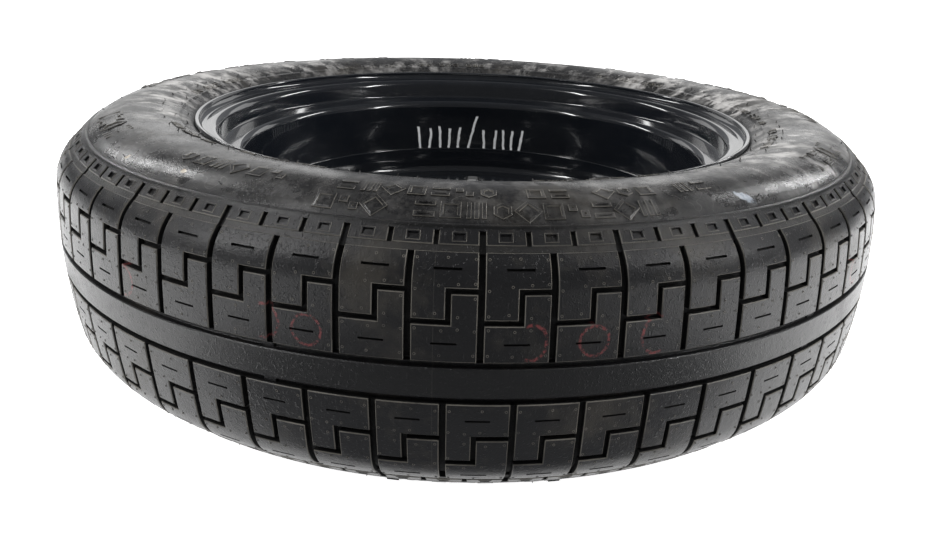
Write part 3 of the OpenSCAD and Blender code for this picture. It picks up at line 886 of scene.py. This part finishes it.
def calc(tree, how, *values, clamp=False):
    node = tree.nodes.new("ShaderNodeMath")
    node.operation, node.use_clamp = how, clamp
    feed(tree, node.inputs, values)
    return node.outputs[0]

def times(tree, *values, clamp=False):
    return calc(tree, "MULTIPLY", *values, clamp=clamp)

def plus(tree, *values, clamp=False):
    return calc(tree, "ADD", *values, clamp=clamp)

def minus(tree, *values, clamp=False):
    return calc(tree, "SUBTRACT", *values, clamp=clamp)

def inverse(tree, value):
    return minus(tree, 1.0, value)

def length_of(tree, a, b):
    return calc(tree, "SQRT", plus(tree, times(tree, a, a), times(tree, b, b)))

def ramp(tree, value, low, high):
    """0 below low, 1 above high, smooth between them."""
    node = tree.nodes.new("ShaderNodeMapRange")
    node.interpolation_type = "SMOOTHSTEP"
    wire(tree, value, node.inputs["Value"])
    node.inputs["From Min"].default_value, node.inputs["From Max"].default_value = low, high
    return node.outputs["Result"]

def share(tree, value, low, high):
    """0 below low, 1 above high, straight between them; both ends may be sockets."""
    over, width = minus(tree, value, low), minus(tree, high, low)
    return calc(tree, "DIVIDE", over, width, clamp=True)

# %% Places and noise
def here(tree):
    return tree.nodes.new("ShaderNodeTexCoord").outputs["Object"]

def place_parts(tree):
    """X, Y and Z of the place, in metres."""
    parts = tree.nodes.new("ShaderNodeSeparateXYZ")
    wire(tree, here(tree), parts.inputs[0])
    return parts.outputs

def polar(tree):
    """Radius, angle from -Y towards +X in degrees, and height, all read from the place."""
    x, y, z = place_parts(tree)
    turn = calc(tree, "ARCTAN2", x, times(tree, y, -1.0))
    return length_of(tree, x, y), times(tree, turn, 180 / math.pi), z

def noise(tree, place, scale, detail=3.0, rough=0.5):
    node = tree.nodes.new("ShaderNodeTexNoise")
    node.inputs["Detail"].default_value, node.inputs["Roughness"].default_value = detail, rough
    feed(tree, [node.inputs["Scale"]], [scale])
    wire(tree, place, node.inputs["Vector"])
    return node.outputs["Fac"]

def unsteady(tree, scale, size):
    """Noise about nought, for a line drawn by hand or a ragged edge."""
    return times(tree, minus(tree, noise(tree, here(tree), scale), 0.5), size)

# %% Grain, patches and rays
grain, inlet, outlet = new_group("moulded_grain", [("Scale", 900.0)], "Height")
fine = noise(grain, here(grain), inlet.outputs["Scale"], 2.0, 0.6)
coarse = noise(grain, here(grain), 210.0, 3.0, 0.55)
pimples = ramp(grain, noise(grain, here(grain), 480.0, 1.0, 0.5), 0.60, 0.72)
height = plus(grain, times(grain, fine, 0.4), times(grain, coarse, 0.4))
wire(grain, plus(grain, height, times(grain, pimples, 0.3)), outlet.inputs["Height"])

patches, inlet, outlet = new_group("dust_patches", [("Scale", 9.0), ("Low", 0.5), ("High", 0.7)], "Mask")
broad = noise(patches, here(patches), inlet.outputs["Scale"], 5.0, 0.62)
spotty = noise(patches, here(patches), 130.0, 3.0, 0.6)
mixed = plus(patches, times(patches, broad, 0.8), times(patches, spotty, 0.2))
mask = share(patches, mixed, inlet.outputs["Low"], inlet.outputs["High"])
wire(patches, mask, outlet.inputs["Mask"])

rays, inlet, outlet = new_group("wiped_rays", [("Low", 0.5), ("High", 0.75)], "Mask")
radius, angle, height = polar(rays)
stretched = rays.nodes.new("ShaderNodeCombineXYZ")
feed(rays, stretched.inputs, (times(rays, angle, 0.30), times(rays, radius, 30.0), height))
streak = noise(rays, stretched.outputs[0], 1.0, 7.0, 0.68)
crumbs = noise(rays, here(rays), 48.0, 5.0, 0.65)
streak = plus(rays, times(rays, streak, 0.55), times(rays, crumbs, 0.45))
mask = share(rays, streak, inlet.outputs["Low"], inlet.outputs["High"])
wire(rays, mask, outlet.inputs["Mask"])
print("shared effects:", grain.name, patches.name, rays.name)

# %% A soft spot at one place
spot_sockets = [("X", 0), ("Y", 0), ("Size", 0.003), ("Stretch", 1)]
soft_spot, inlet, outlet = new_group("soft_spot", spot_sockets, "Mask")
x, y, z = place_parts(soft_spot)
dx, dy = minus(soft_spot, x, inlet.outputs["X"]), minus(soft_spot, y, inlet.outputs["Y"])
dx = calc(soft_spot, "DIVIDE", dx, inlet.outputs["Stretch"])
far = plus(soft_spot, length_of(soft_spot, dx, dy), unsteady(soft_spot, 260.0, 0.006))
ratio = calc(soft_spot, "DIVIDE", far, inlet.outputs["Size"])
wire(soft_spot, inverse(soft_spot, ramp(soft_spot, ratio, 0.6, 1.0)), outlet.inputs["Mask"])

# %% Drawn strokes and loops, for paint and crayon
def drawn(name, inputs, front):
    """Starts a group that knows how far along the wall and up from a spot each place is."""
    group, inlet, outlet = new_group(name, inputs, "Mask")
    x, y, z = place_parts(group)
    turn = calc(group, "ARCTAN2", x, times(group, y, front))
    away = minus(group, turn, times(group, inlet.outputs["Degrees"], math.pi / 180))
    across = times(group, away, inlet.outputs["Radius"])
    up = minus(group, times(group, z, 1000.0), inlet.outputs["Height"])
    return group, inlet, outlet, across, up

def inside(tree, value, limit, soft):
    """1 where the value's size is below the limit, with a soft edge."""
    over = minus(tree, calc(tree, "ABSOLUTE", value), limit)
    return inverse(tree, ramp(tree, over, -soft, soft))

stroke_sockets = [("Degrees", 0), ("Height", 0), ("Radius", 230), ("Length", 30), ("Lean", 0)]
stroke, inlet, outlet, across, up = drawn("brush_stroke", stroke_sockets, 1.0)
slant = plus(stroke, across, times(stroke, up, inlet.outputs["Lean"]))
thick = inside(stroke, plus(stroke, slant, unsteady(stroke, 60.0, 5.0)), 1.5, 0.5)
tall = inside(stroke, up, times(stroke, inlet.outputs["Length"], 0.5), 1.0)
wire(stroke, times(stroke, thick, tall), outlet.inputs["Mask"])

loop_sockets = [("Degrees", 0), ("Height", 0), ("Radius", 390), ("Size", 10), ("Squash", 1), ("Open", 0)]
loop, inlet, outlet, across, up = drawn("crayon_loop", loop_sockets, -1.0)
far = length_of(loop, across, times(loop, up, inlet.outputs["Squash"]))
off_line = plus(loop, minus(loop, far, inlet.outputs["Size"]), unsteady(loop, 45.0, 7.0))
line = inside(loop, off_line, 0.9, 0.5)
kept = ramp(loop, plus(loop, times(loop, across, inlet.outputs["Open"]), 3.0), -1.0, 1.0)
broken = ramp(loop, noise(loop, here(loop), 420.0, 3.0, 0.6), 0.38, 0.60)
wire(loop, times(loop, times(loop, line, kept), broken), outlet.inputs["Mask"])
print("drawn effects:", soft_spot.name, stroke.name, loop.name)

# %% [markdown]
# A material keeps its own Principled shader. Constant values are set on the shader's
# sockets, and only what changes over the surface comes through nodes.

# %% Helpers for materials
def material(name, color, rough, coat=0.0, metal=0.0, coat_rough=0.03, specular=0.5):
    mat = bpy.data.materials.new(name)
    mat.use_nodes = True
    shader = mat.node_tree.nodes["Principled BSDF"]
    shader.inputs["Base Color"].default_value = (*color, 1)
    for label, value in (
        ("Roughness", rough), ("Coat Weight", coat), ("Coat Roughness", coat_rough),
        ("Specular IOR Level", specular), ("Metallic", metal),
    ):
        shader.inputs[label].default_value = value
    return mat, mat.node_tree, shader

def effect(tree, group, output, **values):
    node = tree.nodes.new("ShaderNodeGroup")
    node.node_tree = group
    for label, value in values.items():
        node.inputs[label].default_value = value
    return node.outputs[output]

def noted(tree, label):
    """What note() wrote on the faces."""
    node = tree.nodes.new("ShaderNodeAttribute")
    node.attribute_name = label
    return node.outputs["Fac"]

def blend_color(tree, mask, a, b):
    """Colour a where the mask is 0 and b where it is 1; each is a colour or a socket."""
    node = tree.nodes.new("ShaderNodeMix")
    node.data_type = "RGBA"
    wire(tree, mask, node.inputs["Factor"])
    for socket, value in ((node.inputs["A"], a), (node.inputs["B"], b)):
        if isinstance(value, tuple):
            socket.default_value = (*value, 1)
        else:
            wire(tree, value, socket)
    return node.outputs["Result"]

def blend_value(tree, mask, a, b):
    return plus(tree, a, times(tree, mask, b - a))

def bump(tree, shader, height, strength, distance):
    node = tree.nodes.new("ShaderNodeBump")
    node.inputs["Strength"].default_value, node.inputs["Distance"].default_value = strength, distance
    wire(tree, height, node.inputs["Height"])
    wire(tree, node.outputs["Normal"], shader.inputs["Normal"])

def band(tree, value, low, high, soft):
    """1 between low and high, with soft edges."""
    below_high = inverse(tree, ramp(tree, value, high - soft, high + soft))
    return times(tree, ramp(tree, value, low - soft, low + soft), below_high)

# %% [markdown]
# The tyre is one rubber with three looks. The tread blocks are satin black with a fine
# speckle and tan dust in patches. The centre rib is smoother. The sidewall has a grey
# bloom with streaks, which also carries a painted sheen: it is brighter at the left and
# right sides and dimmer at the back. The height and the radius tell the material where it
# is, and what was noted on the faces tells it which edges are worn and which floors lie
# deep. The deep floors and the outer flank of the sidewall rib get painted shade, and the
# rib's crest a painted highlight.

# %% Rubber: where things are
black, tan = (0.010, 0.010, 0.011), (0.048, 0.042, 0.033)
rubber, tree, shader = material("tyre_rubber", black, 0.36)
radius, angle, z = polar(tree)
side = calc(tree, "ABSOLUTE", z)
on_wall = ramp(tree, side, 0.094, 0.098)
on_rib = inverse(tree, ramp(tree, side, 0.0100, 0.0112))
groove = noted(tree, "in_groove")
wear = effect(tree, patches, "Mask", Scale=30.0, Low=0.25, High=0.6)
worn = times(tree, noted(tree, "worn_edge"), wear)
parting = band(tree, angle, -4.34, -4.28, 0.02)

# %% Rubber: dust, bloom with a painted sheen, and scratches
dust = effect(tree, patches, "Mask", Scale=11.0, Low=0.52, High=0.66)
cloud = effect(tree, patches, "Mask", Scale=9.0, Low=0.40, High=0.56)
bloom_and_sheen = times(tree, on_wall, effect(tree, rays, "Mask", Low=0.47, High=0.60))
bloom_and_sheen = times(tree, bloom_and_sheen, cloud, clamp=True)
near_bead = band(tree, radius, 0.280, 0.326, 0.012)
# The bloom is real, but it is also made brighter at the left and right sides and dimmer at the back: a
# painted sheen where the sidewall reflects its bright surroundings at a grazing angle.
right_sheen = times(tree, ramp(tree, angle, 10.0, 70.0), 1.6)
left_sheen = ramp(tree, times(tree, angle, -1.0), 45.0, 70.0)
sheen_at_sides = calc(tree, "MAXIMUM", right_sheen, left_sheen)
at_back = ramp(tree, calc(tree, "ABSOLUTE", angle), 130.0, 160.0)
bloom_and_sheen = times(tree, bloom_and_sheen, plus(tree, 0.35, times(tree, near_bead, 0.65)))
bloom_and_sheen = times(tree, bloom_and_sheen, plus(tree, 0.35, sheen_at_sides), clamp=True)
bloom_and_sheen = times(tree, bloom_and_sheen, inverse(tree, times(tree, at_back, 0.6)))
scratch = minus(tree, noise(tree, here(tree), 24.0, 2.0, 0.5), 0.5)
scratch = times(tree, inside(tree, scratch, 0.0016, 0.0012), on_wall)
scratch = times(tree, scratch, effect(tree, patches, "Mask", Scale=19.0, Low=0.45, High=0.55))
mottle = ramp(tree, noise(tree, here(tree), 330.0, 4.0, 0.65), 0.36, 0.66)
mottle = times(tree, on_wall, mottle)

# %% Rubber: colour
color = blend_color(tree, times(tree, dust, 0.6), black, tan)
color = blend_color(tree, times(tree, mottle, 0.6), color, (0.036, 0.035, 0.033))
color = blend_color(tree, on_rib, color, (0.010, 0.010, 0.0105))
# Grey bloom, partly real and partly a painted sheen at the sides.
color = blend_color(tree, bloom_and_sheen, color, (0.40, 0.39, 0.38))
color = blend_color(tree, times(tree, scratch, 0.5), color, (0.16, 0.155, 0.15))
color = blend_color(tree, times(tree, worn, 0.9), color, (0.15, 0.14, 0.12))
for x, y, size, stretch, tone in (
    (-0.205, -0.2824, 0.0024, 1.3, (0.28, 0.23, 0.16)), (-0.259, -0.2397, 0.0026, 1.0, (0.28, 0.23, 0.16)),
    (0.1827, -0.3005, 0.0036, 2.4, (0.24, 0.27, 0.31)),
):
    speck = effect(tree, soft_spot, "Mask", X=x, Y=y, Size=size, Stretch=stretch)
    speck = times(tree, speck, ramp(tree, z, 0.02, 0.03))
    color = blend_color(tree, times(tree, speck, 0.85), color, tone)
color = blend_color(tree, times(tree, parting, 0.5), color, (0.05, 0.047, 0.042))
# Painted highlight on the crest of the raised rib on the sidewall, and painted shade on its outer flank just
# below the crest.
side_rib_painted_highlight = times(tree, band(tree, radius, 0.3588, 0.3602, 0.0003), on_wall)
color = blend_color(tree, times(tree, side_rib_painted_highlight, 0.6), color, (0.13, 0.125, 0.115))
side_rib_painted_shade = band(tree, radius, 0.3612, 0.3626, 0.0003)
side_rib_painted_shade = times(tree, side_rib_painted_shade, ramp(tree, side, 0.0905, 0.0915))
# Painted shade: the deep groove faces and the sidewall rib's outer flank are made nearly black.
color = blend_color(tree, calc(tree, "MAXIMUM", groove, side_rib_painted_shade), color, (0.0035, 0.0035, 0.0035))

# %% Rubber: crayon arcs and circles, as a yard marks its tyres
crayon = 0.0
for degrees, height, size, squash, open_side in (
    (4.6, 29, 11, 0.9, 1), (10.6, 29, 10, 1.0, 0), (17.0, 29, 11, 0.95, -1),
    (-16.2, 28, 10, 1.0, 0), (-20.6, 29, 11, 1.0, 1), (-39.5, 29, 11, 1.0, 1), (50.0, 30, 11, 1.0, -1),
):
    one = effect(tree, loop, "Mask", Degrees=degrees, Height=height, Size=size, Squash=squash, Open=open_side)
    crayon = calc(tree, "MAXIMUM", one, crayon)
color = blend_color(tree, times(tree, crayon, 0.75), color, (0.19, 0.032, 0.034))
wire(tree, color, shader.inputs["Base Color"])

# %% Rubber: roughness and relief
speckle = effect(tree, grain, "Height", Scale=950.0)
rough = blend_value(tree, dust, 0.34, 0.46)
rough = plus(tree, rough, times(tree, minus(tree, speckle, 0.5), 0.25), clamp=True)
rough = plus(tree, rough, times(tree, plus(tree, bloom_and_sheen, worn), 0.15), clamp=True)
smear = times(tree, ramp(tree, noise(tree, here(tree), 26.0, 4.0, 0.6), 0.40, 0.62), on_wall)
rough = minus(tree, rough, times(tree, smear, 0.13), clamp=True)
rough = plus(tree, rough, times(tree, groove, 0.45), clamp=True)
wire(tree, rough, shader.inputs["Roughness"])
waves = times(tree, noise(tree, here(tree), 34.0, 2.0, 0.5), on_wall)
fine = times(tree, speckle, inverse(tree, times(tree, on_wall, 0.6)))
bump(tree, shader, plus(tree, fine, times(tree, waves, 0.45)), 0.6, 0.0009)
print("rubber has", len(tree.nodes), "nodes")

# %% Gloss paint on the rim and the disc
paint, tree, shader = material("gloss_black_paint", (0.004, 0.004, 0.0045), 0.16, 1.0, 0.0, 0.04)
ripple = effect(tree, grain, "Height", Scale=420.0)
film = effect(tree, patches, "Mask", Scale=14.0, Low=0.45, High=0.75)
deep, dusty = (0.0045, 0.0055, 0.0075), (0.013, 0.014, 0.016)
color = blend_color(tree, times(tree, film, 0.5), deep, dusty)

# White brush strokes stand on the wall at the back, as a yard counts its wheels
strokes = 0.0
for degrees, height, length, lean in (
    (-17.9, 20, 29, 0.10), (-14.2, 19, 26, -0.06), (-11.0, 20, 29, 0.04), (-7.9, 18, 27, 0.0),
    (-4.7, 19, 28, -0.08), (-0.6, 23, 50, -0.28), (3.6, 17, 27, 0.05), (7.2, 18, 26, -0.05),
    (9.9, 18, 28, 0.08), (12.8, 18, 27, 0.0), (15.9, 19, 28, -0.10),
):
    one = effect(tree, stroke, "Mask", Degrees=degrees, Height=height, Length=length, Lean=lean)
    strokes = calc(tree, "MAXIMUM", one, strokes)
radius, angle, z = polar(tree)
at_back = ramp(tree, place_parts(tree)["Y"], 0.1, 0.12)
inner = times(tree, band(tree, radius, 0.2270, 0.2297, 0.0003), at_back)
strokes = times(tree, strokes, inner)
color = blend_color(tree, strokes, color, (0.78, 0.79, 0.80))
wire(tree, color, shader.inputs["Base Color"])
rough = plus(tree, blend_value(tree, film, 0.12, 0.24), times(tree, strokes, 0.4))
wire(tree, rough, shader.inputs["Roughness"])
bump(tree, shader, ripple, 0.12, 0.0003)
print("paint has", len(tree.nodes), "nodes")

# %% The valve's rubber, brass and plastic
def soft_finish(name, color, rough, spots, ends, scale, strength, depth):
    """A dull finish whose roughness goes in patches from one end to the other."""
    finish, tree, shader = material(name, color, rough)
    mask = effect(tree, patches, "Mask", Scale=spots)
    wire(tree, blend_value(tree, mask, *ends), shader.inputs["Roughness"])
    bump(tree, shader, effect(tree, grain, "Height", Scale=scale), strength, depth)
    return finish

stem_rubber = soft_finish(
    "stem_rubber", (0.014, 0.014, 0.014), 0.5, 60.0, (0.42, 0.6), 1500.0, 0.3, 0.0003)
cap_plastic = soft_finish(
    "cap_plastic", (0.018, 0.018, 0.019), 0.4, 70.0, (0.34, 0.52), 1800.0, 0.2, 0.0002)

brass, tree, shader = material("dull_brass", (0.50, 0.37, 0.16), 0.34, 0, 1)
tarnish = effect(tree, patches, "Mask", Scale=90.0, Low=0.42, High=0.7)
color = blend_color(tree, tarnish, (0.52, 0.39, 0.17), (0.26, 0.18, 0.09))
wire(tree, color, shader.inputs["Base Color"])
wire(tree, blend_value(tree, tarnish, 0.28, 0.5), shader.inputs["Roughness"])
bump(tree, shader, effect(tree, grain, "Height", Scale=2500.0), 0.15, 0.0002)
print("materials", [m.name for m in (rubber, paint, stem_rubber, brass, cap_plastic)])

# %% Put each piece on its body
of_rubber = (casing, tread_upper, tread_lower, marks_upper, marks_lower)
of_rubber += (wear_bars, hairs_upper, hairs_lower)
pieces = [(obj, "wheel", "tyre_rubber", rubber, "tyre") for obj in of_rubber]
pieces += [
    (rim, "wheel", "black_paint", paint, "rim"),
    (disc, "wheel", "black_paint", paint, "disc"),
    (bolt_seats, "wheel", "black_paint", paint, "disc"),
    (valve_stem, "wheel", "valve_rubber", stem_rubber, "valve_stem"),
    (valve_tube, "wheel", "brass", brass, "valve_tube"),
    (valve_core, "wheel", "brass", brass, "valve_core"),
    (valve_pin, "core_pin", "brass", brass, "valve_pin"),
    (valve_cap, "cap", "cap_plastic", cap_plastic, "valve_cap"),
]
for obj, body, slot_name, finish, node in pieces:
    obj.data.materials.clear()
    obj.data.materials.append(finish)
    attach(obj, body)
    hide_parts(node)
print(len(pieces), "pieces ride on their bodies")

# %% [markdown]
# The stage is a plain white floor and a white surround, for the camera and in
# reflections. The floor can be seen through from below, where the valve is. Black rubber
# and gloss paint show mostly what they reflect, so dark flags stand in front, behind,
# above and at the sides. The white between them gives the bright edges, and four thin
# tubes give the streaks in the paint. The flags show in reflections only.

# %% Floor and surround
def lit_by_view(tree, dim, bright):
    """The bright value for the camera and in reflections, and the dim one otherwise."""
    path = tree.nodes.new("ShaderNodeLightPath")
    seen = calc(tree, "MAXIMUM", path.outputs["Is Camera Ray"], path.outputs["Is Glossy Ray"])
    seen = calc(tree, "MAXIMUM", seen, path.outputs["Is Transmission Ray"])
    return blend_value(tree, seen, dim, bright)

deselect()
bpy.ops.mesh.primitive_plane_add(size=40, location=(0, 0, cad_box[0][2]))
floor = named("floor")
white, tree, shader = material("white_floor", (0.8, 0.8, 0.8), 0.9, specular=0.0)
shader.inputs["Emission Color"].default_value = (1, 1, 1, 1)
wire(tree, lit_by_view(tree, 0.0, 1.0), shader.inputs["Emission Strength"])
back = tree.nodes.new("ShaderNodeNewGeometry").outputs["Backfacing"]
wire(tree, inverse(tree, back), shader.inputs["Alpha"])
floor.data.materials.append(white)

world = bpy.data.worlds.new("studio")
bpy.context.scene.world = world
world.use_nodes = True
sky = world.node_tree.nodes["Background"]
sky.inputs["Color"].default_value = (1, 1, 1, 1)
wire(world.node_tree, lit_by_view(world.node_tree, 0.25, 1.0), sky.inputs["Strength"])

# %% Flags and lamps
def flag(name, size, place, turn, level=0.1, axis="X"):
    """A board seen in reflections only, dark or grey by its level."""
    deselect()
    cloth, tree, shader = material(name + "_cloth", (0.01, 0.01, 0.01), 1.0, specular=0.0)
    shader.inputs["Emission Color"].default_value = (0.96, 0.98, 1.03, 1)
    shader.inputs["Emission Strength"].default_value = level
    bpy.ops.mesh.primitive_plane_add(size=1)
    board = named(name)
    stand = Matrix.Translation(place) @ Matrix.Rotation(math.radians(turn), 4, axis)
    board.data.transform(stand @ Matrix.Diagonal((*size, 1, 1)))
    board.data.materials.append(cloth)
    for hidden in ("visible_camera", "visible_diffuse", "visible_shadow", "visible_transmission"):
        setattr(board, hidden, False)

flag("front_flag", (3.4, 2.2), (0, -1.7, 0.95), 90)
for side, name in ((-1, "left_flag"), (1, "right_flag")):
    flag(name, (1.6, 4.0), (1.8 * side, 0.15, 0.7), 90, axis="Y")
flag("top_flag", (5.0, 4.4), (0, 0.3, 1.45), 0)
flag("back_flag", (0.8, 2.0), (0, 1.9, 0.9), 90, 0.22)
over_floor = cad_box[0][2] + 0.001
flag("near_floor_flag", (0.9, 0.14), (0, -0.45, over_floor), 0, 0.27)
flag("floor_flag", (0.9, 1.16), (0, -1.10, over_floor), 0, 0.14)

def lamp(name, place, aim, size, watts, mirrored=False):
    light = bpy.data.lights.new(name, "AREA")
    light.shape, light.size, light.size_y, light.energy = "RECTANGLE", size[0], size[1], watts
    head = bpy.data.objects.new(name, light)
    bpy.context.scene.collection.objects.link(head)
    head.location = place
    head.rotation_euler = (Vector(aim) - Vector(place)).to_track_quat("-Z", "Y").to_euler()
    head.visible_glossy = mirrored

lamp("left_box", (-2.2, 0.5, 0.8), (0, 0, 0), (2.0, 1.2), 50)
lamp("right_box", (2.2, 0.5, 0.8), (0, 0, 0), (2.0, 1.2), 80)
lamp("top_box", (0, 0.6, 2.4), (0, 0, 0), (1.4, 1.4), 10)
tube_ring, tube_height = 1.6, 1.3
for name, degrees, watts in (
    ("left_tube", -63, 14), ("right_tube", 63, 14),
    ("left_back_tube", -119, 10), ("right_back_tube", 119, 10),
):
    a = math.radians(degrees)
    place = (tube_ring * math.sin(a), -tube_ring * math.cos(a), tube_height)
    lamp(name, place, (0, 0, 0.05), (0.12, 1.5), watts, True)

# %% Finish
bpy.context.scene.view_settings.view_transform = "Standard"
deselect()
bpy.context.view_layer.update()
